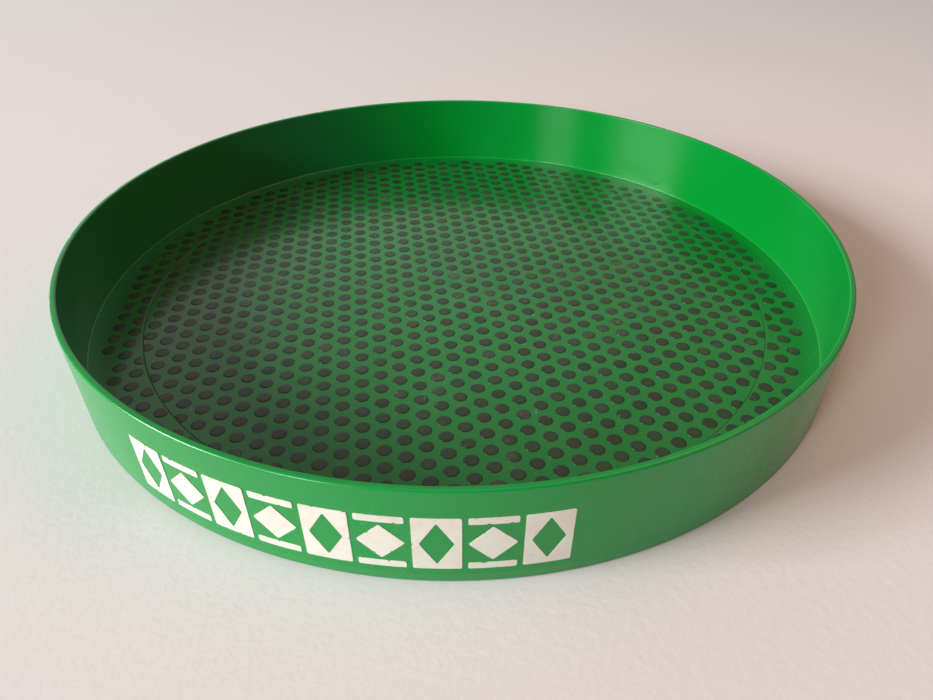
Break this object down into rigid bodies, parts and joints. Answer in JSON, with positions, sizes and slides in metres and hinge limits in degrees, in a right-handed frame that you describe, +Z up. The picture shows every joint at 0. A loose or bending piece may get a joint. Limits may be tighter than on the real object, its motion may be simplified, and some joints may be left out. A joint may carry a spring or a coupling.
{
  "type": "serving tray",
  "caption": "Round moulded plastic serving tray with a steep rounded-lip wall, a floor of raised anti-slip dots and a plain geometric motif printed on its outside.",
  "frame": {"origin": "centre of the circle the tray rests on, on its bottom plane", "axes": "+Z up along the tray's axis, -Y towards the middle of the front printed motif"},
  "size_m": [0.32, 0.32, 0.038],
  "materials": {
    "body_plastic": "satin-gloss green, lightly scuffed",
    "grip_rubber": "matt dark grey, worn pale on some dots",
    "print_ink": "matt cream ink, chipped and yellowed"
  },
  "bodies": {
    "root": {"tray_body": "body_plastic", "grip_dots_centre": "grip_rubber", "grip_dots_middle": "grip_rubber", "grip_dots_outer": "grip_rubber", "rim_print_front": "print_ink", "rim_print_back": "print_ink"}
  },
  "joints": []
}
